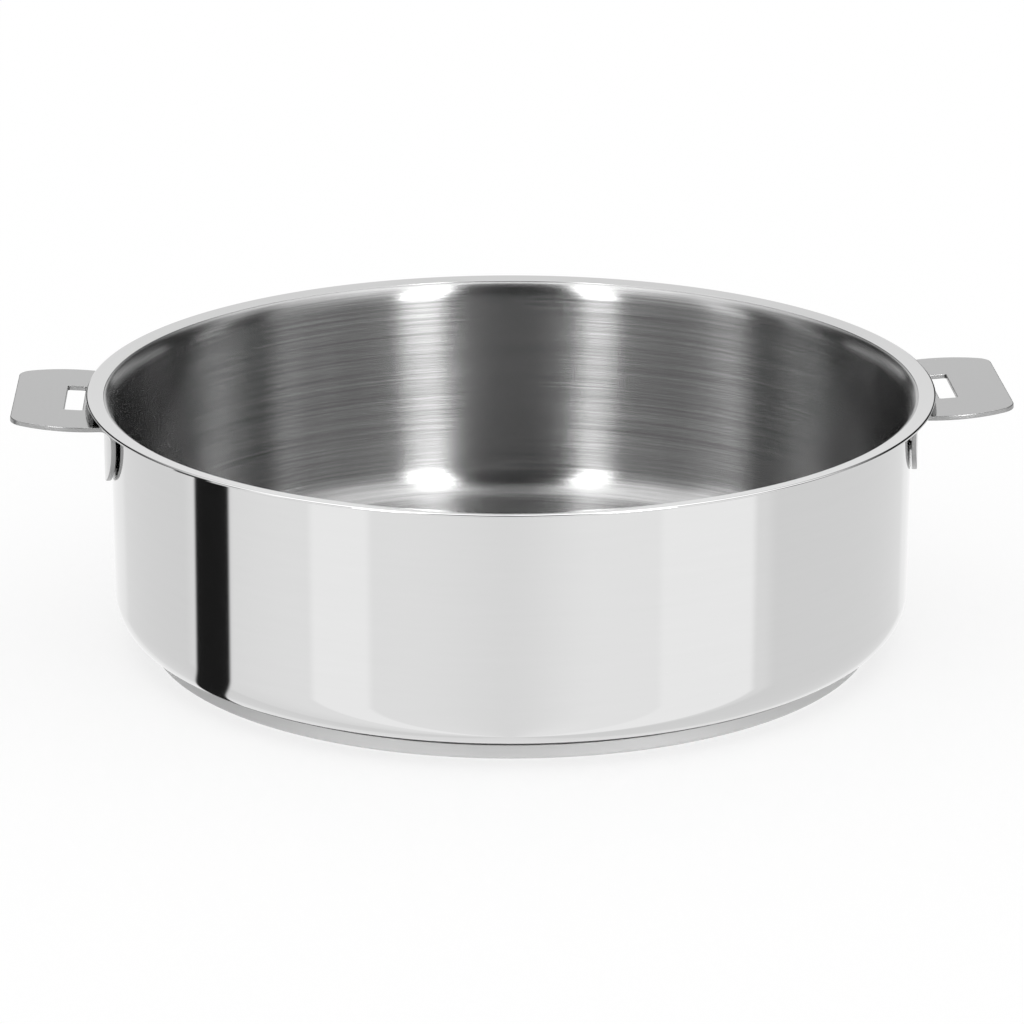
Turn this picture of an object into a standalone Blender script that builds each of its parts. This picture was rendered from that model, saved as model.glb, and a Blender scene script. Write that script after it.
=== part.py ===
# Round saute pan: one drawn steel vessel with a rolled pouring rim, a bonded heat-spreading base
# and two welded carrying lugs. Metres, +Z up, the pan stands on Z = 0 with its axis on Z,
# and the lugs point along +X and -X.

import math

import bmesh
import bpy
from mathutils import Matrix, Vector

MM = 0.001

# Vessel
INNER_DIAMETER = 280 * MM       # clear width between the straight walls
INNER_DEPTH = 85.3 * MM         # cooking floor to the top of the rim
VESSEL_SHEET = 1.0 * MM
FLOOR_RADIUS = 13.5 * MM        # inside radius between floor and wall
RIM_WIDTH = 8.25 * MM           # from the outside of the wall out to the edge of the rim
RIM_ROLL = 1.9 * MM             # underside radius where the wall rolls outwards into the rim
RIM_SLOPE = math.radians(11.5)  # the rim rises outwards
LIP_ROUND = 0.45 * MM           # rounding of the rim's cut edge

# Base
BASE_SETBACK = 12 * MM          # from the outside of the wall in to the outside of the base
CAP_SHEET = 0.7 * MM
CAP_EDGE = 1.2 * MM             # outside radius of the cap's lower edge
CORE_THICKNESS = 4.0 * MM
CORE_EDGE = 0.5 * MM            # rounding of the core's two edges
BOND_GAP = 0.3 * MM             # kept between the bonded faces of vessel, core and cap

# Lugs
LUG_SHEET = 1.7 * MM
LUG_LENGTH = 27 * MM            # from the bend out to the straight end
LUG_WIDTH = 71.8 * MM           # diameter of the round plate that the end cuts off
LUG_ROUND_OFFSET = 6.15 * MM    # from the bend out to the middle of that round
LUG_CORNER = 7 * MM
LUG_TILT = math.radians(3.8)    # the plate rises outwards
LUG_EDGE = 0.3 * MM             # rounding of the cut edges
LUG_BEND = 6.0 * MM             # outer radius of the bend from plate to tongue
LIP_CLEARANCE = 2.4 * MM        # between the rim's underside and the plate
WELD_STANDOFF = 0.75 * MM       # between the wall and the tongue
TONGUE_SIDE = 1.7 * MM          # straight side of the tongue below the bend
TONGUE_DROP = 20 * MM           # depth of the half-round below those sides
SLOT_OFFSET = 2.75 * MM         # from the bend out to the slot
SLOT_LENGTH = 6.3 * MM
SLOT_WIDTH = 29.2 * MM
SLOT_CORNER = 0.8 * MM
SLOT_CUT_DEPTH = 10 * MM        # height of the cutter, well past both faces of the tilted plate

# Weld projections pressed out of the tongue towards the wall
WELD_DIAMETER = 2.8 * MM
WELD_GAP = 0.3 * MM             # left between a projection's face and the wall
WELD_SPREAD = 20 * MM           # the upper two, either side of the middle
WELD_UPPER_DROP = 9 * MM        # below the end of the bend
WELD_LOWER_DROP = 15.5 * MM

# Fineness of the round shapes
TURN_STEPS = 72
ARC_STEP = math.radians(18)
LUG_COLUMNS = 20
BEND_STEPS = 6
TONGUE_ROWS = 4
ROUND_ROWS = 6
CORNER_ROWS = 4
WELD_SIDES = 16
EDGE_SEGMENTS = 2
SLOT_CORNER_SEGMENTS = 3
SHARP_ANGLE = math.radians(60)  # edges that turn more than this are rounded

# Heights and radii that follow from the sizes above
inner_radius = INNER_DIAMETER / 2
outer_radius = inner_radius + VESSEL_SHEET
core_bottom = CAP_SHEET + BOND_GAP
core_top = core_bottom + CORE_THICKNESS
floor_under = core_top + BOND_GAP
floor_top = floor_under + VESSEL_SHEET
rim_top = floor_top + INNER_DEPTH
rim_roll_top = RIM_ROLL + VESSEL_SHEET
lip_radius = outer_radius + RIM_WIDTH - LIP_ROUND - (VESSEL_SHEET - LIP_ROUND) * math.sin(RIM_SLOPE)
rim_reach = (lip_radius - outer_radius - RIM_ROLL + rim_roll_top * math.sin(RIM_SLOPE)) / math.cos(RIM_SLOPE)
rim_rise = rim_reach * math.sin(RIM_SLOPE) + (rim_roll_top - LIP_ROUND) * math.cos(RIM_SLOPE) + LIP_ROUND
roll_centre = Vector((outer_radius + RIM_ROLL, rim_top - rim_rise))
corner_centre = Vector((inner_radius - FLOOR_RADIUS, floor_top + FLOOR_RADIUS))
cap_radius = outer_radius - BASE_SETBACK
core_radius = cap_radius - CAP_SHEET - BOND_GAP

tongue_radius = outer_radius + WELD_STANDOFF
bend_start = tongue_radius + LUG_BEND * (1 - math.sin(LUG_TILT))
bend_height = rim_top - VESSEL_SHEET - LIP_CLEARANCE
bend_drop = LUG_BEND * math.cos(LUG_TILT)
plate_end = bend_start + LUG_LENGTH
round_centre = bend_start + LUG_ROUND_OFFSET
round_radius = LUG_WIDTH / 2


def clear_scene():
    for obj in list(bpy.context.scene.objects):
        bpy.data.objects.remove(obj, do_unlink=True)


def make_collection(name):
    collection = bpy.data.collections.new(name)
    bpy.context.scene.collection.children.link(collection)
    return collection


def make_material(name, colour, roughness):
    material = bpy.data.materials.new(name)
    material.use_nodes = True
    shader = material.node_tree.nodes["Principled BSDF"]
    shader.inputs["Base Color"].default_value = (*colour, 1)
    shader.inputs["Roughness"].default_value = roughness
    shader.inputs["Metallic"].default_value = 1
    return material


def arc(centre, radius, start, end):
    """Points on an arc in the (radius, height) plane; angles in degrees from the outward axis."""
    turn = math.radians(end - start)
    steps = max(2, math.ceil(abs(turn) / ARC_STEP))
    angles = [math.radians(start) + turn * i / steps for i in range(steps + 1)]
    return [Vector((centre[0] + radius * math.cos(a), centre[1] + radius * math.sin(a))) for a in angles]


def turned(name, profile, material, collection):
    """A solid of revolution about Z from a profile that runs down its outer side."""
    mesh = bpy.data.meshes.new(name)
    points = [(p[0], 0, p[1]) for p in profile]
    mesh.from_pydata(points, [(i, i + 1) for i in range(len(points) - 1)], [])
    obj = bpy.data.objects.new(name, mesh)
    collection.objects.link(obj)
    screw = obj.modifiers.new("turn", "SCREW")
    screw.steps = TURN_STEPS
    screw.render_steps = TURN_STEPS
    screw.use_merge_vertices = True
    screw.merge_threshold = 0.00001
    screw.use_smooth_shade = True
    mesh.materials.append(material)
    return obj


def round_edges(obj, width):
    bevel = obj.modifiers.new("rounded edges", "BEVEL")
    bevel.width = width
    bevel.segments = EDGE_SEGMENTS
    bevel.limit_method = "ANGLE"
    bevel.angle_limit = SHARP_ANGLE


def make_vessel(collection, material):
    inside = [Vector((0, floor_top))]
    inside += arc(corner_centre, FLOOR_RADIUS, -90, 0)
    slope = math.degrees(RIM_SLOPE)
    inside += arc(roll_centre, rim_roll_top, 180, 90 + slope)
    outwards = Vector((math.cos(RIM_SLOPE), math.sin(RIM_SLOPE)))
    upwards = Vector((-outwards.y, outwards.x))
    upper_lip = roll_centre + rim_reach * outwards + (rim_roll_top - LIP_ROUND) * upwards
    lower_lip = roll_centre + rim_reach * outwards + (RIM_ROLL + LIP_ROUND) * upwards
    lip = arc(upper_lip, LIP_ROUND, 90 + slope, slope)
    lip += arc(lower_lip, LIP_ROUND, slope, slope - 90)
    outside = arc(roll_centre, RIM_ROLL, 90 + slope, 180)
    outside += arc(corner_centre, FLOOR_RADIUS + VESSEL_SHEET, 0, -90)
    outside.append(Vector((0, floor_under)))
    return turned("pan_body", inside + lip + outside, material, collection)


def vessel_underside(radius):
    """Height of the vessel's outer skin at a radius out in its lower corner."""
    reach = max(0, radius - corner_centre[0])
    return corner_centre[1] - math.sqrt((FLOOR_RADIUS + VESSEL_SHEET) ** 2 - reach ** 2)


def make_cap(collection, material):
    inner = cap_radius - CAP_SHEET
    inner_edge = max(CAP_EDGE - CAP_SHEET, 0)
    top = vessel_underside(inner) - BOND_GAP
    profile = [Vector((0, CAP_SHEET))]
    profile += arc((inner - inner_edge, CAP_SHEET + inner_edge), inner_edge, -90, 0)
    profile += [Vector((inner, top)), Vector((cap_radius, top))]
    profile += arc((cap_radius - CAP_EDGE, CAP_EDGE), CAP_EDGE, 0, -90)
    profile.append(Vector((0, 0)))
    return turned("base_cap", profile, material, collection)


def make_core(collection, material):
    mesh = bpy.data.meshes.new("aluminium_core")
    bm = bmesh.new()
    bmesh.ops.create_cone(bm, cap_ends=True, segments=TURN_STEPS, radius1=core_radius,
                          radius2=core_radius, depth=CORE_THICKNESS)
    bm.to_mesh(mesh)
    bm.free()
    core = bpy.data.objects.new("aluminium_core", mesh)
    core.location = (0, 0, (core_bottom + core_top) / 2)
    collection.objects.link(core)
    round_edges(core, CORE_EDGE)
    mesh.materials.append(material)
    return core


def plate_outline():
    """One side of the flat plate, from its straight end back to the bend, as (out, across) points."""
    corner_out = plate_end - LUG_CORNER
    corner_across = math.sqrt((round_radius - LUG_CORNER) ** 2 - (corner_out - round_centre) ** 2)
    corner_angle = math.degrees(math.atan2(corner_across, corner_out - round_centre))
    bend_out = (bend_start ** 2 - round_radius ** 2 + round_centre ** 2) / (2 * round_centre)
    bend_across = math.sqrt(bend_start ** 2 - bend_out ** 2)
    bend_angle = math.degrees(math.atan2(bend_across, bend_out - round_centre))

    def sweep(centre, radius, start, end, rows):
        angles = [math.radians(start + (end - start) * i / rows) for i in range(rows + 1)]
        return [(centre[0] + radius * math.cos(a), centre[1] + radius * math.sin(a)) for a in angles]

    corner = sweep((corner_out, corner_across), LUG_CORNER, 0, corner_angle, CORNER_ROWS)
    return corner + sweep((round_centre, 0), round_radius, corner_angle, bend_angle, ROUND_ROWS)[1:]


def plate_height(out):
    return bend_height + math.tan(LUG_TILT) * (out - bend_start)


def lug_rows():
    """Rows of points over the lug's upper face, from the plate's end to the tip of the tongue."""
    spread = [math.sin(math.pi * (i / LUG_COLUMNS - 0.5)) for i in range(LUG_COLUMNS + 1)]
    outline = plate_outline()
    rows = []
    for out, across in outline:
        # each row is part way from the straight end to the bend, which follows the pan's round
        share = (plate_end - out) / (plate_end - math.sqrt(bend_start ** 2 - across ** 2))
        row = []
        for s in spread:
            y = s * across
            x = plate_end + share * (math.sqrt(bend_start ** 2 - y ** 2) - plate_end)
            row.append(Vector((x, y, plate_height(x))))
        rows.append(row)
    bend_line = rows[-1]
    for i in range(1, BEND_STEPS + 1):
        turn = LUG_TILT + (math.pi / 2 - LUG_TILT) * i / BEND_STEPS
        inward = LUG_BEND * (math.sin(turn) - math.sin(LUG_TILT))
        down = LUG_BEND * (math.cos(LUG_TILT) - math.cos(turn))
        scale = (bend_start - inward) / bend_start
        rows.append([Vector((p.x * scale, p.y * scale, p.z - down)) for p in bend_line])
    tongue_line = rows[-1]
    for i in range(1, TONGUE_ROWS + 1):
        share = i / TONGUE_ROWS
        depths = [TONGUE_SIDE + TONGUE_DROP * math.sqrt(max(0, 1 - s * s)) for s in spread]
        rows.append([p - Vector((0, 0, share * d)) for p, d in zip(tongue_line, depths)])
    return rows


def make_weld_projections(name, collection):
    """Short round studs, all in one mesh, that stand on the tongue and stop short of the wall."""
    mesh = bpy.data.meshes.new(name)
    face = outer_radius + WELD_GAP
    root = tongue_radius + LUG_SHEET / 2
    bend_foot = bend_height - bend_drop
    places = [(-WELD_SPREAD, WELD_UPPER_DROP), (WELD_SPREAD, WELD_UPPER_DROP), (0, WELD_LOWER_DROP)]
    bm = bmesh.new()
    for across, drop in places:
        turn = Matrix.Rotation(math.asin(across / tongue_radius), 4, "Z")
        place = turn @ Matrix.Translation(((face + root) / 2, 0, bend_foot - drop))
        place = place @ Matrix.Rotation(math.pi / 2, 4, "Y")
        bmesh.ops.create_cone(bm, cap_ends=True, segments=WELD_SIDES, radius1=WELD_DIAMETER / 2,
                              radius2=WELD_DIAMETER / 2, depth=root - face, matrix=place)
    bm.to_mesh(mesh)
    bm.free()
    studs = bpy.data.objects.new(name, mesh)
    collection.objects.link(studs)
    return studs


def make_slot_cutter(name, collection):
    mesh = bpy.data.meshes.new(name)
    bm = bmesh.new()
    bmesh.ops.create_cube(bm, size=1)
    bmesh.ops.scale(bm, vec=(SLOT_LENGTH, SLOT_WIDTH, SLOT_CUT_DEPTH), verts=bm.verts)
    upright = [e for e in bm.edges if abs(e.verts[0].co.z - e.verts[1].co.z) > LUG_SHEET]
    bmesh.ops.bevel(bm, geom=upright, offset=SLOT_CORNER, segments=SLOT_CORNER_SEGMENTS, profile=0.5,
                    affect="EDGES")
    bm.to_mesh(mesh)
    bm.free()
    cutter = bpy.data.objects.new(name, mesh)
    middle = bend_start + SLOT_OFFSET + SLOT_LENGTH / 2
    cutter.location = (middle, 0, plate_height(middle) - LUG_SHEET / 2)
    collection.objects.link(cutter)
    return cutter


def make_lug(side, turn, parts, cutters, material):
    """A plate bent down into a tongue: an open sheet, thickened, slotted and given its welds."""
    frame = bpy.data.objects.new(side + "_lug_frame", None)
    frame.rotation_euler = (0, 0, turn)
    parts.objects.link(frame)

    rows = lug_rows()
    bm = bmesh.new()
    grid = [[bm.verts.new(p) for p in row] for row in rows]
    for upper, lower in zip(grid, grid[1:]):
        for i in range(LUG_COLUMNS):
            bm.faces.new((upper[i], upper[i + 1], lower[i + 1], lower[i]))
    mesh = bpy.data.meshes.new(side + "_lug")
    bm.to_mesh(mesh)
    bm.free()
    mesh.materials.append(material)
    lug = bpy.data.objects.new(side + "_lug", mesh)
    parts.objects.link(lug)
    lug.parent = frame

    sheet = lug.modifiers.new("sheet", "SOLIDIFY")
    sheet.thickness = LUG_SHEET
    sheet.offset = -1
    sheet.use_even_offset = True
    round_edges(lug, LUG_EDGE)

    for tool, operation in ((make_weld_projections(side + "_lug_studs", cutters), "UNION"),
                            (make_slot_cutter(side + "_lug_slot", cutters), "DIFFERENCE")):
        tool.parent = frame
        tool.hide_render = True
        tool.display_type = "WIRE"
        join = lug.modifiers.new(tool.name, "BOOLEAN")
        join.operation = operation
        join.object = tool
        join.solver = "EXACT"
    return lug


def main():
    clear_scene()
    parts = make_collection("saute_pan")
    cutters = make_collection("saute_pan_cutters")
    polished = make_material("polished_steel", (0.68, 0.68, 0.68), 0.10)
    satin = make_material("satin_steel", (0.62, 0.62, 0.62), 0.22)
    aluminium = make_material("bonded_aluminium", (0.80, 0.80, 0.80), 0.45)
    cap_steel = make_material("magnetic_steel", (0.60, 0.60, 0.60), 0.22)
    make_vessel(parts, polished)
    make_core(parts, aluminium)
    make_cap(parts, cap_steel)
    make_lug("right", 0, parts, cutters, satin)
    make_lug("left", math.pi, parts, cutters, satin)


main()
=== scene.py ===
import math

import bpy
import numpy as np
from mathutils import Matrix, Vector


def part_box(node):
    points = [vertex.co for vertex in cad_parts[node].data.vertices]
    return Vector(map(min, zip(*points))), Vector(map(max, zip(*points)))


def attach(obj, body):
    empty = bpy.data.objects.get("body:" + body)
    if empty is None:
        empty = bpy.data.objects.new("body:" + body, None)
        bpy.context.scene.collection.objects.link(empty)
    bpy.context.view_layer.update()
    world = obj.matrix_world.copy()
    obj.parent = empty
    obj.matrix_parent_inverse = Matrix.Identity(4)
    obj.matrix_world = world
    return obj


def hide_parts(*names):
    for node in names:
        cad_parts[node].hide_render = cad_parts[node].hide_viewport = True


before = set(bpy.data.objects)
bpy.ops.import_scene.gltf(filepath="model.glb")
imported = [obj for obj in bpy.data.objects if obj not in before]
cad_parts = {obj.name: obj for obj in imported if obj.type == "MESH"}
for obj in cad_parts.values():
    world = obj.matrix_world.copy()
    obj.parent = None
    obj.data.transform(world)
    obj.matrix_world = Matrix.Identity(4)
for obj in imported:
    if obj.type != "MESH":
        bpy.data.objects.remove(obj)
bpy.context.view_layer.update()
mm = 0.001
toDegrees = 180 / math.pi
tiny = 1e-9                        # keeps a root away from zero


# Surfaces

def arc(centre, radius, start, end, steps):
    # centre plus radius times the cosine and sine of angles, in degrees, from start to end
    angle = np.radians(np.linspace(start, end, steps + 1))
    return np.stack([centre[0] + radius * np.cos(angle), centre[1] + radius * np.sin(angle)], -1)


def turned(profile, columns):
    # every (radius, height) point of the profile, carried round the pan's axis in equal steps
    angle = np.linspace(0, 2 * np.pi, columns, endpoint=False)[None, :]
    radius = profile[:, :1]
    height = profile[:, 1:]
    return np.stack([radius * np.cos(angle), radius * np.sin(angle), height + 0 * angle], -1)


def gridMesh(name, points, wrapRows=False, rowMaterial=None):
    # joins a grid of points with four-sided faces: columns close on themselves, and rows either
    # close too or run between two poles, where all the points of a row are one
    rows, columns = points.shape[:2]
    index = np.arange(rows * columns).reshape(rows, columns)
    if not wrapRows:
        index[0] = index[0, 0]
        index[-1] = index[-1, 0]
    upper = index if wrapRows else index[:-1]
    lower = np.roll(index, -1, axis=0)[:len(upper)]
    corners = np.stack([upper, np.roll(upper, -1, 1), np.roll(lower, -1, 1), lower], -1).reshape(-1, 4)
    faceRow = np.repeat(np.arange(len(upper)), columns)
    used, corners = np.unique(corners, return_inverse=True)
    corners = corners.reshape(-1, 4)
    vertices = points.reshape(-1, 3)[used]

    # twice the area of each face, as a vector square to it; a closed surface that faces inwards
    # has a negative volume, and its corners are then taken the other way round
    spot = vertices[corners]
    square = np.cross(spot[:, 2] - spot[:, 0], spot[:, 3] - spot[:, 1])
    if np.sum(spot.mean(1) * square) < 0:
        corners = corners[:, ::-1]
        square = -square
    normals = np.zeros_like(vertices)
    for corner in corners.T:
        np.add.at(normals, corner, square)
    normals /= np.linalg.norm(normals, axis=1, keepdims=True)

    faces = [list(dict.fromkeys(face)) for face in corners.tolist()]
    mesh = bpy.data.meshes.new(name)
    mesh.from_pydata(vertices.tolist(), [], faces)
    if rowMaterial is not None:
        mesh.polygons.foreach_set("material_index", np.asarray(rowMaterial, np.int32)[faceRow])
    mesh.shade_smooth()
    mesh.normals_split_custom_set_from_vertices(normals.tolist())
    mesh.update()
    piece = bpy.data.objects.new(name, mesh)
    bpy.context.scene.collection.objects.link(piece)
    return piece


def place(piece, slot, materials, *nodes):
    # gives a piece its materials and its body, and hides the CAD nodes that it stands for
    for material in materials:
        piece.data.materials.append(material)
    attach(piece, "root")
    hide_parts(*nodes)
    print(piece.name, len(piece.data.polygons), "faces")
    return piece


# Shader maths

class Signal:
    # one output of a node, on which Python's own operators add Math nodes
    def __init__(self, graph, socket):
        self.graph = graph
        self.socket = socket

    def maths(self, operation, *values):
        return self.graph.node("ShaderNodeMath", {"operation": operation}, dict(enumerate(values)))

    def __add__(self, other):
        return self.maths("ADD", self, other)

    def __sub__(self, other):
        return self.maths("SUBTRACT", self, other)

    def __rsub__(self, other):
        return self.maths("SUBTRACT", other, self)

    def __mul__(self, other):
        return self.maths("MULTIPLY", self, other)

    def __truediv__(self, other):
        return self.maths("DIVIDE", self, other)

    def apply(self, operation, *values):
        return self.maths(operation, self, *values)

    __radd__ = __add__
    __rmul__ = __mul__


class Graph:
    # the node tree of a material or a world, emptied
    def __init__(self, owner):
        owner.use_nodes = True
        self.tree = owner.node_tree
        self.tree.nodes.clear()

    def node(self, kind, settings=None, sockets=None, output=0):
        # any node: its settings first, then a value or a link for each socket named
        made = self.tree.nodes.new(kind)
        for setting, value in (settings or {}).items():
            setattr(made, setting, value)
        for name, value in (sockets or {}).items():
            if isinstance(value, Signal):
                self.tree.links.new(value.socket, made.inputs[name])
            else:
                made.inputs[name].default_value = value
        return Signal(self, made.outputs[output]) if made.outputs else made

    def smooth(self, value, low, high, fromValue=0.0, toValue=1.0):
        # goes gently from one value to another while the input passes from low to high
        return self.node("ShaderNodeMapRange", {"interpolation_type": "SMOOTHSTEP"}, {
            "Value": value, "From Min": low, "From Max": high, "To Min": fromValue, "To Max": toValue})

    def axes(self, vector):
        # the three components of a vector
        return [self.node("ShaderNodeSeparateXYZ", None, {"Vector": vector}, output=axis)
                for axis in "XYZ"]

    def noise(self, vector, scale, detail, roughness):
        # cloudy noise with zero as its middle
        return self.node("ShaderNodeTexNoise", None, {
            "Vector": vector, "Scale": scale, "Detail": detail, "Roughness": roughness}, output="Fac") - 0.5


# Steel and aluminium finishes, and painted shade for the gap under the pan. Their fine lines are
# lineWidth wide and change lineChanges times in a radian round the pan, or in a metre of sheet.
# A spread is how far they move shade or roughness.

finishes = {
    "polishedSteel": {"shade": 0.66, "roughness": 0.05, "roughnessSpread": 0.01, "shadeSpread": 0.01,
                      "grain": 0.0, "lineWidth": 2.5 * mm, "lineChanges": 4, "lineDepth": 0.0006 * mm},
    # partly painted shade: its shade sits below the polished outside's to cut the light bounced round
    # inside the pan; its grain and roughness are the turned metal's own
    "shadedTurnedSteel": {"shade": 0.45, "roughness": 0.26, "roughnessSpread": 0.03, "shadeSpread": 0.24,
                    "grain": 1.0, "lineWidth": 0.40 * mm, "lineChanges": 1.8, "lineDepth": 0.003 * mm},
    # painted shade: a near-black sheet on faces that show only in the gap between vessel and cap, and a
    # painted reflection of that gap on the vessel's lower corner
    "paintedGapShade": {"shade": 0.02, "roughness": 0.60, "roughnessSpread": 0.10, "shadeSpread": 0.01,
                  "grain": 0.0, "lineWidth": 0.5 * mm, "lineChanges": 9, "lineDepth": 0.002 * mm},
    "lugSteel": {"shade": 0.42, "roughness": 0.11, "roughnessSpread": 0.04, "shadeSpread": 0.01,
                 "grain": 0.0, "lineWidth": 0.5 * mm, "lineChanges": 40, "lineDepth": 0.001 * mm},
    "cutSteel": {"shade": 0.34, "roughness": 0.30, "roughnessSpread": 0.10, "shadeSpread": 0.05,
                 "grain": 0.0, "lineWidth": 0.3 * mm, "lineChanges": 400, "lineDepth": 0.006 * mm},
    "capSteel": {"shade": 0.58, "roughness": 0.60, "roughnessSpread": 0.06, "shadeSpread": 0.03,
                 "grain": 0.0, "lineWidth": 0.7 * mm, "lineChanges": 9, "lineDepth": 0.004 * mm},
    "plainAluminium": {"shade": 0.80, "roughness": 0.42, "roughnessSpread": 0.06, "shadeSpread": 0.03,
                       "grain": 0.3, "lineWidth": 0.8 * mm, "lineChanges": 9, "lineDepth": 0.006 * mm},
}
leastRoughness = 0.02
alongTheTurn = 0.25                # of a full turn: the grain of turned metal lies round the axis


def finishShader(graph, finish, lines, clouds):
    # shade, roughness and a very shallow height all follow the same fine lines
    shade = lines * (2 * finish["shadeSpread"]) + finish["shade"]
    colour = graph.node("ShaderNodeCombineColor", None, {"Red": shade, "Green": shade, "Blue": shade})
    roughness = (lines + clouds) * finish["roughnessSpread"] + finish["roughness"]
    bump = graph.node("ShaderNodeBump", None, {
        "Height": lines, "Strength": 1.0, "Distance": finish["lineDepth"]})
    shader = graph.node("ShaderNodeBsdfPrincipled", None, {
        "Base Color": colour, "Metallic": 1.0, "Roughness": roughness.apply("MAXIMUM", leastRoughness),
        "Anisotropic": finish["grain"], "Anisotropic Rotation": alongTheTurn, "Normal": bump})
    graph.node("ShaderNodeOutputMaterial", None, {"Surface": shader})


def sheetMetal(name):
    # cold-rolled sheet: fine lines that run across the lug, with soft clouds over them
    finish = finishes[name]
    material = bpy.data.materials.new(name)
    graph = Graph(material)
    spot = graph.node("ShaderNodeTexCoord", output="Object")
    x, y, z = graph.axes(spot)
    across = (x.apply("ABSOLUTE") - z) / finish["lineWidth"]
    lineSpot = graph.node("ShaderNodeCombineXYZ", None, {"X": across, "Y": y * finish["lineChanges"]})
    lines = graph.noise(lineSpot, scale=1.0, detail=3.0, roughness=0.6)
    clouds = graph.noise(spot, scale=60.0, detail=2.0, roughness=0.5)
    finishShader(graph, finish, lines, clouds)
    return material


def turnedMetal(name):
    # metal worked round the pan's axis: lines that lie along the turning direction vary its shade,
    # its roughness and, by a few thousandths of a millimetre, its height
    finish = finishes[name]
    material = bpy.data.materials.new(name)
    graph = Graph(material)
    spot = graph.node("ShaderNodeTexCoord", output="Object")
    x, y, z = graph.axes(spot)
    radius = (x * x + y * y + tiny).apply("SQRT")
    across = (z - radius) / finish["lineWidth"]
    lineSpot = graph.node("ShaderNodeCombineXYZ", None, {
        "X": x / radius * finish["lineChanges"], "Y": y / radius * finish["lineChanges"], "Z": across})
    lines = graph.noise(lineSpot, scale=1.0, detail=4.0, roughness=0.65)
    clouds = graph.noise(spot, scale=18.0, detail=2.0, roughness=0.5)
    finishShader(graph, finish, lines, clouds)
    return material


polishedSteel, shadedTurnedSteel, capSteel, plainAluminium, paintedGapShade = [
    turnedMetal(name)
    for name in ("polishedSteel", "shadedTurnedSteel", "capSteel", "plainAluminium", "paintedGapShade")]
lugSteel, cutSteel = sheetMetal("lugSteel"), sheetMetal("cutSteel")


# Vessel: floor, wall and rolled rim, one drawn sheet

vessel = {
    "sheet": 1.0 * mm,
    "floorRadius": 13.5 * mm,      # inside radius between floor and wall
    "rimWidth": 8.25 * mm,         # from the outside of the wall out to the edge of the rim
    "rimRoll": 1.9 * mm,           # underside radius where the wall rolls outwards into the rim
    "rimSlope": 9.0,               # the rim rises outwards, in degrees
    "lipTop": 1.0 * mm,            # rounding of the rim's upper edge, as far as lipTurn, in degrees
    "lipTurn": 36,
    "lipRound": 0.35 * mm,         # tighter rounding from there on
    "insideRoll": 8.5 * mm,        # radius by which the brushed wall leans out, as far as rollTurn
    "rollTurn": 41,                # in degrees; a tighter radius takes it on to the rim
    "polishedStep": 0.20 * mm,     # the polished rim stands this much proud of the brushed metal
    "polishedBand": 6.0 * mm,      # width of the polished rim, from its edge in to the brushing
    "bandEdge": [(0.02 * mm, -0.05 * mm), (0.08 * mm, 0)],    # how the step rises: out and up
    "cornerSteps": 24,
    "rollSteps": (18, 6),          # the wide and the tight part of the inside roll
    "lipSteps": (10, 8),           # the upper rounding of the lip, and each tighter one
    "underSteps": 16,
    "gapShadeRows": 10,               # rows under the outer corner, from 56 degrees, in painted shade: a painted reflection of the dark gap
    "columns": 360,
}
vesselLow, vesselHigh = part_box("pan_body")
outerRadius = vesselHigh.y - vessel["rimWidth"]
innerRadius = outerRadius - vessel["sheet"]
cornerCentre = (innerRadius - vessel["floorRadius"],
                vesselLow.z + vessel["sheet"] + vessel["floorRadius"])


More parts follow.
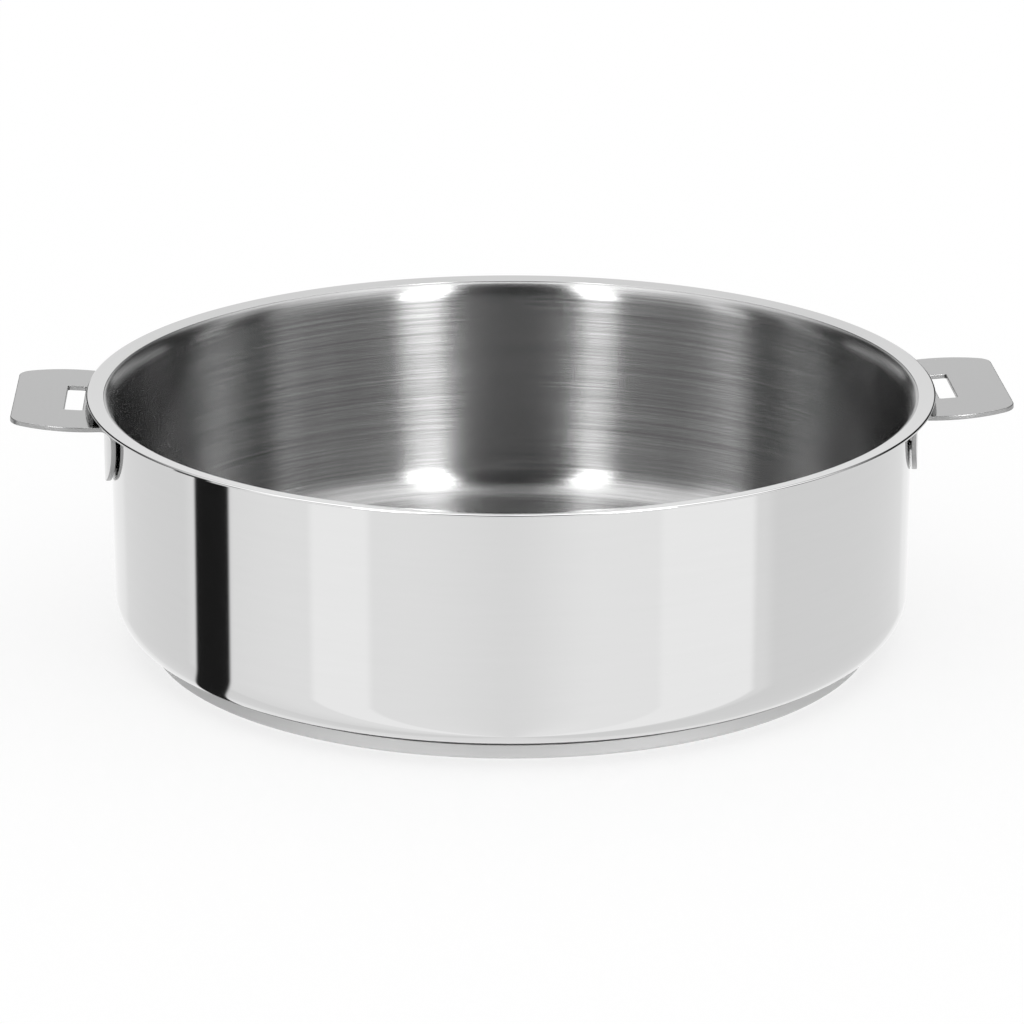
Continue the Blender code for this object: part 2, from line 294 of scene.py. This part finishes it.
def vesselProfile():
    # from the middle of the cooking floor out, up the wall, over the rim and back down outside;
    # also the number of its points that are brushed: floor, corner, wall and inside roll
    sheet, under, slope = vessel["sheet"], vessel["rimRoll"], math.radians(vessel["rimSlope"])
    along = np.array([math.cos(slope), math.sin(slope)])
    square = np.array([-along[1], along[0]])
    # two radii round the rim's upper edge, and one its lower edge, a sheet's thickness below
    top, lip, turn = vessel["lipTop"], vessel["lipRound"], math.radians(vessel["lipTurn"])
    topSteps, lipSteps = vessel["lipSteps"]
    outerLip = vesselHigh.y - lip
    topCentre = np.array([outerLip - (top - lip) * math.sin(turn), vesselHigh.z - top])
    upperLip = topCentre + (top - lip) * np.array([math.sin(turn), math.cos(turn)])
    beneath = topCentre + (top - sheet) * square
    lowerLip = beneath + lip * square
    lowerLip = lowerLip + (outerLip - lowerLip[0]) / along[0] * along
    reach = (beneath[0] - under * square[0] - outerRadius - under) / along[0]
    underCentre = beneath - under * square - reach * along
    # the brushed roll touches the wall and ends a small step below the polished rim
    bandEnd = vesselHigh.y - vessel["polishedBand"]
    rimTop = topCentre + top * square
    bandHeight = rimTop[1] - (rimTop[0] - bandEnd) * along[1] / along[0]
    wide, lean = vessel["insideRoll"], math.radians(vessel["rollTurn"])
    wideSteps, tightSteps = vessel["rollSteps"]
    tight = (bandEnd - innerRadius - wide * (1 - math.cos(lean))) / (math.cos(lean) - along[1])
    tightCentre = np.array([bandEnd + tight * along[1],
                            bandHeight - vessel["polishedStep"] - tight * along[0]])
    wideCentre = tightCentre + (wide - tight) * np.array([math.cos(lean), -math.sin(lean)])
    brushed = np.vstack([
        [(0, vesselLow.z + sheet)],
        arc(cornerCentre, vessel["floorRadius"], -90, 0, vessel["cornerSteps"]),
        arc(wideCentre, wide, 180, 180 - vessel["rollTurn"], wideSteps),
        arc(tightCentre, tight, 180 - vessel["rollTurn"], 90 + vessel["rimSlope"], tightSteps)[1:],
    ])
    rest = np.vstack([
        [(bandEnd + out, bandHeight + up) for out, up in vessel["bandEdge"]],
        arc(topCentre, top, 90 + vessel["rimSlope"], 90 - vessel["lipTurn"], topSteps),
        arc(upperLip, lip, 90 - vessel["lipTurn"], 0, lipSteps)[1:],
        arc(lowerLip, lip, 0, vessel["rimSlope"] - 90, lipSteps),
        arc(underCentre, under, 90 + vessel["rimSlope"], 180, vessel["underSteps"]),
        arc(cornerCentre, vessel["floorRadius"] + sheet, 0, -90, vessel["cornerSteps"]),
        [(0, vesselLow.z)],
    ])
    return np.vstack([brushed, rest]), len(brushed)


profile, brushedCount = vesselProfile()
rowMaterial = np.zeros(len(profile) - 1, int)    # 0 polished, 1 brushed with painted shade, 2 painted gap shade
rowMaterial[:brushedCount] = 1
# the lower corner and the bottom take painted shade, a painted reflection of the dark gap above the cap
rowMaterial[-vessel["gapShadeRows"]:] = 2
panBody = gridMesh("saute_pan_vessel", turned(profile, vessel["columns"]), rowMaterial=rowMaterial)
place(panBody, "vessel_steel", [polishedSteel, shadedTurnedSteel, paintedGapShade], "pan_body")


# Base: aluminium core and the steel cap pressed over it

base = {
    "capSheet": 0.7 * mm,
    "capEdge": 1.2 * mm,           # outside radius of the cap's lower edge
    "capTopRound": 0.15 * mm,
    "coreEdge": 0.5 * mm,
    "gapShadeRing": 5.0 * mm,             # how far in from the edge the core's top carries painted shade, where the gap under the pan shows it
    "insideSteps": 6,
    "outsideSteps": 12,
    "edgeSteps": 4,                # round each small edge of cap and core
    "columns": 360,
}
capLow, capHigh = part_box("base_cap")
coreLow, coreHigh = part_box("aluminium_core")


def capProfile():
    # from the middle of the dish's inside out, over its rim and back under the pan;
    # also the material of each row: painted shade on the hidden inside faces, which show only in the gap
    # under the pan, and steel outside
    sheet, edge, top = base["capSheet"], base["capEdge"], base["capTopRound"]
    steps = base["edgeSteps"]
    radius = capHigh.y
    inner = radius - sheet
    hidden = np.vstack([
        [(0, sheet)],
        arc((inner - edge + sheet, edge), edge - sheet, -90, 0, base["insideSteps"]),
        arc((inner + top, capHigh.z - top), top, 180, 90, steps),
    ])
    shown = np.vstack([
        arc((radius - top, capHigh.z - top), top, 90, 0, steps),
        arc((radius - edge, edge), edge, 0, -90, base["outsideSteps"]),
        [(0, 0)],
    ])
    return np.vstack([hidden, shown]), [1] * len(hidden) + [0] * (len(shown) - 1)


def coreProfile():
    # a disc with rounded edges, from its top middle to its bottom middle;
    # also the material of each row: painted shade where the gap under the pan shows the core, aluminium
    # elsewhere
    edge, steps = base["coreEdge"], base["edgeSteps"]
    radius = coreHigh.y
    profile = np.vstack([
        [(0, coreHigh.z), (radius - base["gapShadeRing"], coreHigh.z)],
        arc((radius - edge, coreHigh.z - edge), edge, 90, 0, steps),
        arc((radius - edge, coreLow.z + edge), edge, 0, -90, steps),
        [(0, coreLow.z)],
    ])
    return profile, [0] + [1] * (steps + 1) + [0] * (steps + 2)


profile, rowMaterial = capProfile()
baseCap = gridMesh("bonded_base_cap", turned(profile, base["columns"]), rowMaterial=rowMaterial)
place(baseCap, "cap_steel", [capSteel, paintedGapShade], "base_cap")
profile, rowMaterial = coreProfile()
heatCore = gridMesh("heat_core", turned(profile, base["columns"]), rowMaterial=rowMaterial)
place(heatCore, "core_aluminium", [plainAluminium, paintedGapShade], "aluminium_core")


# Lugs: a slotted plate that bends down into a half-round tongue, welded to the wall

lug = {
    "sheet": 1.7 * mm,
    "length": 27 * mm,             # from the bend out to the straight end
    "width": 71.8 * mm,            # diameter of the round plate that the end cuts off
    "roundOffset": 6.15 * mm,      # from the bend out to the middle of that round
    "corner": 7 * mm,
    "tilt": math.radians(3.8),     # the plate rises outwards
    "edgeRound": 0.3 * mm,
    "bend": 6.0 * mm,              # outer radius of the bend from plate to tongue
    "lipClearance": 2.4 * mm,      # between the rim's underside and the plate
    "standoff": 0.75 * mm,         # between the wall and the tongue
    "tongueSide": 1.7 * mm,
    "tongueDrop": 20 * mm,
    "slotOffset": 2.75 * mm,
    "slotLength": 6.3 * mm,
    "slotWidth": 29.2 * mm,
    "slotCorner": 0.8 * mm,
    "leanShare": 0.3,              # of the bend, over which its normal turns from flat to round
    "steps": (24, 12, 24, 16, 44),     # along the end, corner, round side, tongue side and tongue
    "edgeSteps": 4,
    "faceRows": 90,
}
tongueRadius = outerRadius + lug["standoff"]
bendRadius = lug["bend"]
bendStart = tongueRadius + bendRadius * (1 - math.sin(lug["tilt"]))
bendHeight = vesselHigh.z - vessel["sheet"] - lug["lipClearance"]
bendLength = bendRadius * (math.pi / 2 - lug["tilt"])
plateEnd = bendStart + lug["length"]
roundCentre = bendStart + lug["roundOffset"]


def lugSheet(plan, depth):
    # The blank's plan is carried on to the bent sheet. Outside the bend a point stays over its
    # place in plan, on the tilted plane. Nearer the axis than the bend's start, the distance past
    # that start is run round the bend and then straight down, at the same angle round the pan.
    # Each point is then sunk by its depth, square to the surface.
    tilt = lug["tilt"]
    reach = np.hypot(plan[..., 0], plan[..., 1])
    around = np.arctan2(plan[..., 1], plan[..., 0])
    past = np.maximum(bendStart - reach, 0)
    turn = tilt + np.minimum(past / bendRadius, math.pi / 2 - tilt)
    radius = np.maximum(reach, bendStart) - bendRadius * (np.sin(turn) - math.sin(tilt))
    lineX = np.maximum(reach, bendStart) * np.cos(around)
    height = bendHeight + math.tan(tilt) * (lineX - bendStart)
    height -= bendRadius * (math.cos(tilt) - np.cos(turn)) + np.maximum(past - bendLength, 0)
    top = np.stack([radius * np.cos(around), radius * np.sin(around), height], -1)
    lean = around * np.minimum(past / (lug["leanShare"] * bendLength), 1)
    square = np.stack([-np.cos(lean) * np.sin(turn), -np.sin(lean) * np.sin(turn), np.cos(turn)], -1)
    return top - depth[..., None] * square


def lugOutlines():
    # Half of the blank's outer outline and half of the slot's, as matched rows of points in plan:
    # straight end with the slot's far side, corner with corner, round side with the slot's end,
    # tongue side with the slot's other corner, and tongue with the slot's near side.
    endSteps, cornerSteps, roundSteps, sideSteps, tongueSteps = lug["steps"]
    outer = lug["width"] / 2
    cornerOut = plateEnd - lug["corner"]
    cornerAcross = math.sqrt((outer - lug["corner"]) ** 2 - (cornerOut - roundCentre) ** 2)
    cornerAngle = math.degrees(math.atan2(cornerAcross, cornerOut - roundCentre))
    bendOut = (bendStart ** 2 - outer ** 2 + roundCentre ** 2) / (2 * roundCentre)
    bendAcross = math.sqrt(bendStart ** 2 - bendOut ** 2)
    bendAngle = math.degrees(math.atan2(bendAcross, bendOut - roundCentre))
    tongueAngle = math.atan2(bendAcross, bendOut)

    def line(start, end, steps):
        share = np.linspace(0, 1, steps + 1)[:, None]
        return (1 - share) * np.array(start) + share * np.array(end)

    side = line((bendStart,), (bendStart - bendLength - lug["tongueSide"],), sideSteps)
    swing = np.radians(np.linspace(90, 0, tongueSteps + 1))
    around = np.arcsin(bendAcross * np.sin(swing) / bendStart)
    drop = bendStart - bendLength - lug["tongueSide"] - lug["tongueDrop"] * np.cos(swing)
    rim = np.vstack([
        line((plateEnd, 0), (plateEnd, cornerAcross), endSteps)[:-1],
        arc((cornerOut, cornerAcross), lug["corner"], 0, cornerAngle, cornerSteps)[:-1],
        arc((roundCentre, 0), outer, cornerAngle, bendAngle, roundSteps)[:-1],
        (side * np.array([[math.cos(tongueAngle), math.sin(tongueAngle)]]))[:-1],
        np.stack([drop * np.cos(around), drop * np.sin(around)], -1),
    ])
    near = bendStart + lug["slotOffset"]
    far = near + lug["slotLength"]
    half = lug["slotWidth"] / 2
    fillet = lug["slotCorner"]
    slot = np.vstack([
        line((far, 0), (far, half - fillet), endSteps)[:-1],
        arc((far - fillet, half - fillet), fillet, 0, 90, cornerSteps)[:-1],
        line((far - fillet, half), (near + fillet, half), roundSteps)[:-1],
        arc((near + fillet, half - fillet), fillet, 90, 180, sideSteps)[:-1],
        line((near, half - fillet), (near, 0), tongueSteps),
    ])
    return mirrored(rim), mirrored(slot)


def mirrored(half):
    # a half outline that starts and ends on the X axis, closed by its other half
    return np.vstack([half, (half * np.array([1, -1]))[-2:0:-1]])


def inwards(outline):
    # unit vectors in plan, square to a closed outline that runs anticlockwise, to its left
    along = np.roll(outline, -1, 0) - np.roll(outline, 1, 0)
    along /= np.linalg.norm(along, axis=1, keepdims=True)
    return np.stack([-along[:, 1], along[:, 0]], -1)


def lugGrid():
    # One loop of points for each matched pair of outline points: over the top face from slot to
    # rim, round the rim's edge, back over the underside and up through the slot.
    rim, slot = lugOutlines()
    sheet, edge, faceRows = lug["sheet"], lug["edgeRound"], lug["faceRows"]
    intoRim, intoSlot = inwards(rim), -inwards(slot)
    share = np.linspace(0, 1, faceRows + 1)[:, None, None]
    swing = np.radians(np.linspace(0, 90, lug["edgeSteps"] + 1))[:, None, None]
    inset = edge * (1 - np.sin(swing))
    sunk = edge * (1 - np.cos(swing[:, :, 0])) + np.zeros((1, len(rim)))
    face = (1 - share) * (slot + edge * intoSlot) + share * (rim + edge * intoRim)
    rimEdge = rim + inset * intoRim
    slotEdge = slot + inset * intoSlot
    flat = np.zeros(face.shape[:2])
    plan = np.concatenate([face, rimEdge[1:], rimEdge[::-1][:-1],
                           face[::-1], slotEdge[1:], slotEdge[::-1][:-1]])
    depth = np.concatenate([flat, sunk[1:], sheet - sunk[::-1][:-1],
                            flat + sheet, sheet - sunk[1:], sunk[::-1][:-1]])
    # the rows of the two cut edges: 0 sheet, 1 cut
    underRow = faceRows + 2 * lug["edgeSteps"] + 1
    cutRow = np.zeros(len(plan), int)
    cutRow[faceRows:underRow] = 1
    cutRow[underRow + faceRows:] = 1
    return lugSheet(plan, depth), cutRow


weld = {
    "radius": 1.4 * mm,
    "flare": 0.3 * mm,             # how far the metal spreads where it meets wall and tongue
    "sunk": 0.15 * mm,
    "spots": [(-20 * mm, 9 * mm), (20 * mm, 9 * mm), (0, 15.5 * mm)],    # across, and below the bend
    "flareSteps": 5,
    "columns": 24,
}


def weldGrid(across, drop):
    # a short drum from wall to tongue, flared at both ends and square to the wall
    start = outerRadius - weld["sunk"]
    end = tongueRadius + weld["sunk"]
    flare, steps = weld["flare"], weld["flareSteps"]
    wide = weld["radius"] + flare
    drum = np.vstack([
        [(0, start), (wide, start), (wide, outerRadius)],
        arc((wide, outerRadius + flare), flare, -90, -180, steps)[1:],
        arc((wide, tongueRadius - flare), flare, 180, 90, steps),
        [(wide, end), (0, end)],
    ])
    stud = turned(drum, weld["columns"])
    angle = math.asin(across / outerRadius)
    outwards = np.array([math.cos(angle), math.sin(angle), 0])
    along = np.array([-math.sin(angle), math.cos(angle), 0])
    up = np.array([0, 0, 1])
    height = bendHeight - bendRadius - drop
    return stud[..., 2:] * outwards + stud[..., :1] * along + (stud[..., 1:2] + height) * up


for side, turn in (("right", 1), ("left", -1)):
    halfTurn = np.array([turn, turn, 1])
    lugPoints, cutRow = lugGrid()
    piece = gridMesh(side + "_carrying_lug", lugPoints * halfTurn, wrapRows=True, rowMaterial=cutRow)
    place(piece, "lug_steel", [lugSteel, cutSteel], side + "_lug")
    for number, spot in enumerate(weld["spots"], 1):
        stud = gridMesh(f"{side}_lug_weld_{number}", weldGrid(*spot) * halfTurn)
        place(stud, "lug_steel", [lugSteel])


# Stage, world and camera

view = {
    "target": (0, 0, 43.8 * mm),
    "distance": 1507 * mm,
    "elevation": math.radians(18.09),
    "swing": math.radians(2.73),   # the camera stands a little to the left
    "focalPixels": 4230,
    "imagePixels": 1024,
    "sensor": 36.0,
    "offsetPixels": (1.0, 0.5),    # how far the optical axis lies from the image's middle
}


def makeCamera():
    # at its distance from the target, lifted by the elevation and swung to the left
    data = bpy.data.cameras.new("camera")
    data.sensor_width = view["sensor"]
    data.lens = view["focalPixels"] / view["imagePixels"] * view["sensor"]
    data.shift_x = view["offsetPixels"][0] / view["imagePixels"]
    data.shift_y = view["offsetPixels"][1] / view["imagePixels"]
    camera = bpy.data.objects.new("camera", data)
    lift, swing = view["elevation"], view["swing"]
    back = Vector((-math.sin(swing) * math.cos(lift), -math.cos(swing) * math.cos(lift), math.sin(lift)))
    camera.location = Vector(view["target"]) + back * view["distance"]
    camera.rotation_mode = "QUATERNION"
    camera.rotation_quaternion = (-back).to_track_quat("-Z", "Y")
    bpy.context.scene.collection.objects.link(camera)
    bpy.context.scene.camera = camera


makeCamera()

studio = {
    "low": 1.0,                    # white table and sides, below the horizon
    "high": 0.46,                  # the room above the horizon
    "horizon": (0, 4),             # elevations between which one turns to the other
    "panels": [
        # azimuth from and to, elevation from and to, softness of the edges, all in degrees,
        # and brightness; azimuth 0 is towards the camera and 90 towards +X
        ("upper sides", -180, 180, 42, 62, 12, 1.5),
        ("ceiling", -180, 180, 58, 95, 14, 1.9),
        ("right strip", 90, 101, -1, 50, 4, 0.6),
        ("dark back", 101, 256, -1, 34, 8, 0.02),
        ("back wall", 168, 192, -10, 46, 6, 0.92),
        ("back wall foot", 168, 192, -10, 24, 6, 0.95),
        ("low back right", 118, 156, -10, 12, 6, 0.75),
        ("low back left", 204, 242, -10, 12, 6, 0.75),
        ("camera side", -31, 25, -1, 84, 4, 0.0),
        ("left strip", -77.5, -65, -1, 50, 3, 1.4),
        ("left gap", -92, -77.5, -1, 38, 3, 0.0),
        ("right gap", 75, 90, -1, 38, 3, 0.0),
        ("left glow", -84, -14, -91, 0, 40, 1.08),
        ("right glow", 8, 60, -91, 0, 30, 1.13),
        ("left side", -150, -107, -91, 0, 6, 0.92),
        ("right side", 76, 150, -91, 0, 6, 0.92),
        ("left card", -61, -43, -91, 0, 3, 1.2),
        ("right card", 40, 70, -91, 0, 3, 1.2),
    ],
    # a dark gap between the cards, curved so that the round side shows it as an upright stripe:
    # the azimuths are those of the side's own slope, half way from the camera to what it reflects,
    # and they drift with the square of the slope's tilt, as the corner turns under
    "gap": {"from": -53.3, "to": -46.1, "drift": 0.0034, "soft": 0.4, "brightness": 0.015,
            "bottom": -66, "bottomSoft": 1, "topSoft": 3},
}


def makeWorld():
    # white to the camera and to matt surfaces; metal sees a studio of soft panels
    world = bpy.data.worlds.new("studio")
    bpy.context.scene.world = world
    world.cycles.sampling_method = "NONE"
    graph = Graph(world)
    way = graph.node("ShaderNodeTexCoord", output="Generated")
    x, y, z = graph.axes(way)
    azimuth = x.apply("ARCTAN2", y * -1) * toDegrees
    elevation = z.apply("ARCSINE") * toDegrees
    light = graph.smooth(elevation, *studio["horizon"], studio["low"], studio["high"])
    for name, left, right, bottom, top, soft, brightness in studio["panels"]:
        middle, width = (left + right) / 2, right - left
        offset = ((azimuth - middle + 540).apply("FLOORED_MODULO", 360) - 180).apply("ABSOLUTE")
        inside = graph.smooth(offset, (width - soft) / 2, (width + soft) / 2, 1, 0)
        inside = inside * graph.smooth(elevation, bottom - soft / 2, bottom + soft / 2)
        inside = inside * graph.smooth(elevation, top - soft / 2, top + soft / 2, 1, 0)
        light = light + (brightness - light) * inside
    gap = studio["gap"]
    ahead = Vector((math.sin(view["swing"]), math.cos(view["swing"]))) * math.cos(view["elevation"])
    aside, near = x - ahead.x, ahead.y - y
    slope = aside.apply("ARCTAN2", near) * toDegrees
    level = (aside * aside + near * near + tiny).apply("SQRT")
    tilt = (-math.sin(view["elevation"]) - z).apply("ARCTAN2", level) * toDegrees
    slope = slope + tilt * tilt * gap["drift"]
    offset = (slope - (gap["from"] + gap["to"]) / 2).apply("ABSOLUTE")
    half = (gap["to"] - gap["from"]) / 2
    inside = graph.smooth(offset, half - gap["soft"], half + gap["soft"], 1, 0)
    inside = inside * graph.smooth(elevation, gap["bottom"] - gap["bottomSoft"],
                                   gap["bottom"] + gap["bottomSoft"])
    inside = inside * graph.smooth(elevation, 0, gap["topSoft"], 1, 0)
    light = light + (gap["brightness"] - light) * inside
    glossy = graph.node("ShaderNodeLightPath", output="Is Glossy Ray")
    strength = glossy * (light - 1) + 1
    background = graph.node("ShaderNodeBackground", None, {"Color": (1, 1, 1, 1), "Strength": strength})
    graph.node("ShaderNodeOutputWorld", None, {"Surface": background})


softboxes = {
    "bottom": 48 * mm,
    "top": 1023 * mm,
    # the ends of each box in plan, and its brightness
    "boxes": [
        ("right_softbox", (199 * mm, -525 * mm), (321 * mm, -465 * mm), 8.0),
        ("left_softbox", (-353 * mm, -444 * mm), (-259 * mm, -502 * mm), 6.8),
    ],
}


def makeSoftboxes():
    # upright lights close to the pan, which only metal sees: from so near, the second reflection
    # in the round wall stands apart from the first
    for name, start, end, brightness in softboxes["boxes"]:
        low, high = softboxes["bottom"], softboxes["top"]
        corners = [(*start, low), (*end, low), (*end, high), (*start, high)]
        mesh = bpy.data.meshes.new(name)
        mesh.from_pydata(corners, [], [(0, 1, 2, 3)])
        made = bpy.data.objects.new(name, mesh)
        bpy.context.scene.collection.objects.link(made)
        made.visible_camera = made.visible_diffuse = False
        made.visible_transmission = made.visible_shadow = False
        material = bpy.data.materials.new(name)
        material.cycles.emission_sampling = "NONE"
        graph = Graph(material)
        glow = graph.node("ShaderNodeEmission", None, {"Color": (1, 1, 1, 1), "Strength": brightness})
        graph.node("ShaderNodeOutputMaterial", None, {"Surface": glow})
        mesh.materials.append(material)


floor = {
    "size": 30.0,
    "shade": 0.25,                 # share of the floor's white that shadows can take away
}


def makeFloor():
    # a pale floor that keeps the pan's shadow; metal sees through it to the studio below
    half = floor["size"] / 2
    corners = [(-half, -half, 0), (half, -half, 0), (half, half, 0), (-half, half, 0)]
    mesh = bpy.data.meshes.new("floor")
    mesh.from_pydata(corners, [], [(0, 1, 2, 3)])
    made = bpy.data.objects.new("floor", mesh)
    bpy.context.scene.collection.objects.link(made)
    material = bpy.data.materials.new("paleFloor")
    material.cycles.emission_sampling = "NONE"
    graph = Graph(material)
    matt = graph.node("ShaderNodeBsdfDiffuse", None, {"Color": (floor["shade"],) * 3 + (1,)})
    glow = graph.node("ShaderNodeEmission", None, {
        "Color": (1, 1, 1, 1), "Strength": 1 - floor["shade"]})
    lit = graph.node("ShaderNodeAddShader", None, {0: matt, 1: glow})
    clear = graph.node("ShaderNodeBsdfTransparent")
    glossy = graph.node("ShaderNodeLightPath", output="Is Glossy Ray")
    through = glossy.apply("MAXIMUM", graph.node("ShaderNodeLightPath", output="Is Transmission Ray"))
    surface = graph.node("ShaderNodeMixShader", None, {0: through, 1: lit, 2: clear})
    graph.node("ShaderNodeOutputMaterial", None, {"Surface": surface})
    mesh.materials.append(material)


makeWorld()
makeSoftboxes()
makeFloor()

bpy.context.scene.view_settings.view_transform = "Standard"
